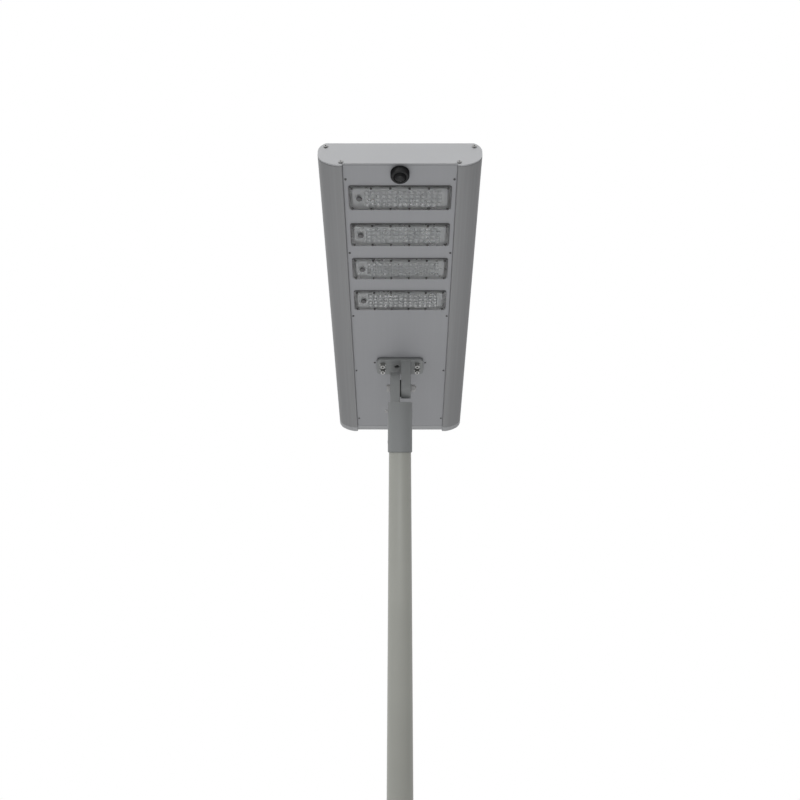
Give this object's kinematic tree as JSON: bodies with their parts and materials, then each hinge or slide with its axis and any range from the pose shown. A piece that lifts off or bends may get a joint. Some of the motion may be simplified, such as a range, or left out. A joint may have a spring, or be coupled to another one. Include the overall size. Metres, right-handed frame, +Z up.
{
  "type": "solar street lamp",
  "caption": "All-in-one solar street lamp: a long flat head with LED lens modules and a motion sensor below and a solar panel on top, on a tilting bracket over a tapered pole.",
  "frame": {"origin": "centre of the base plate's underside, on the pole's axis", "axes": "+Z up along the pole, -Y towards the lamp head's front end, +X to the right as seen from the front end"},
  "size_m": [0.3604, 0.9253, 4.5517],
  "materials": {
    "pole_coat": "warm grey powder coat over galvanised steel, satin",
    "hinge_coat": "grey powder coat over cast aluminium, fine texture",
    "profile_anodised": "extruded aluminium, grey coat with faint lengthwise draw lines",
    "cap_coat": "light grey satin coat",
    "plate_coat": "smooth light grey coat on sheet aluminium",
    "screw_steel": "stainless steel, turned and slightly dulled",
    "pivot_steel": "bright zinc plated steel",
    "seal_rubber": "black silicone rubber, matte",
    "lens_clear": "clear moulded polycarbonate",
    "board_white": "white solder mask on an aluminium board",
    "raw_aluminium": "mill finish aluminium",
    "sensor_black": "black moulded plastic",
    "sensor_window": "dark faceted translucent plastic",
    "panel_glass": "clear toughened solar glass, lightly textured",
    "panel_cell": "dark blue silicon cells with thin silver lines",
    "panel_back": "white backsheet",
    "box_black": "black moulded plastic",
    "battery_wrap": "blue sleeve on cylindrical cells",
    "wire_cover": "red wire insulation"
  },
  "bodies": {
    "pole": {"pole_shaft": "pole_coat", "base_plate": "pole_coat", "base_gussets": "pole_coat"},
    "sleeve": {"pole_sleeve": "hinge_coat", "sleeve_set_screws": "screw_steel", "pivot_bolt": "pivot_steel", "pivot_nut": "pivot_steel", "pivot_washers": "pivot_steel", "lug_spacer": "hinge_coat"},
    "head": {"backing_plate": "raw_aluminium", "battery_cells": "battery_wrap", "battery_lid": "raw_aluminium", "battery_posts": "raw_aluminium", "battery_tray": "raw_aluminium", "bottom_plate": "plate_coat", "bracket_bolts": "screw_steel", "bracket_gasket": "seal_rubber", "bracket_plate": "hinge_coat", "bracket_washers": "screw_steel", "cable_grommet": "seal_rubber", "charge_controller": "raw_aluminium", "front_cap_gasket": "seal_rubber", "front_cap_screws": "screw_steel", "front_end_cap": "cap_coat", "heat_spreader_1": "raw_aluminium", "heat_spreader_2": "raw_aluminium", "heat_spreader_3": "raw_aluminium", "heat_spreader_4": "raw_aluminium", "led_board_1": "board_white", "led_board_2": "board_white", "led_board_3": "board_white", "led_board_4": "board_white", "led_lens_1": "lens_clear", "led_lens_2": "lens_clear", "led_lens_3": "lens_clear", "led_lens_4": "lens_clear", "left_side_profile": "profile_anodised", "lens_gasket_1": "seal_rubber", "lens_gasket_2": "seal_rubber", "lens_gasket_3": "seal_rubber", "lens_gasket_4": "seal_rubber", "lens_screws_1": "screw_steel", "lens_screws_2": "screw_steel", "lens_screws_3": "screw_steel", "lens_screws_4": "screw_steel", "panel_backsheet": "panel_back", "panel_cells": "panel_cell", "panel_glass": "panel_glass", "panel_junction_box": "box_black", "panel_seal": "seal_rubber", "plate_screws": "screw_steel", "rear_cap_gasket": "seal_rubber", "rear_cap_screws": "screw_steel", "rear_end_cap": "cap_coat", "right_side_profile": "profile_anodised", "sensor_housing": "sensor_black", "sensor_lens": "sensor_window", "sensor_nut": "sensor_black", "wiring_harness": "wire_cover"}
  },
  "joints": [
    {"name": "sleeve_swivel", "type": "hinge", "parent": "pole", "child": "sleeve", "pos_m": [0, 0, 4], "axis": [0, 0, 1], "continuous": true},
    {"name": "head_tilt", "type": "hinge", "parent": "sleeve", "child": "head", "pos_m": [0, 0, 4.0503], "axis": [-1, 0, 0], "range_deg": [-31.7, 28.3]}
  ]
}
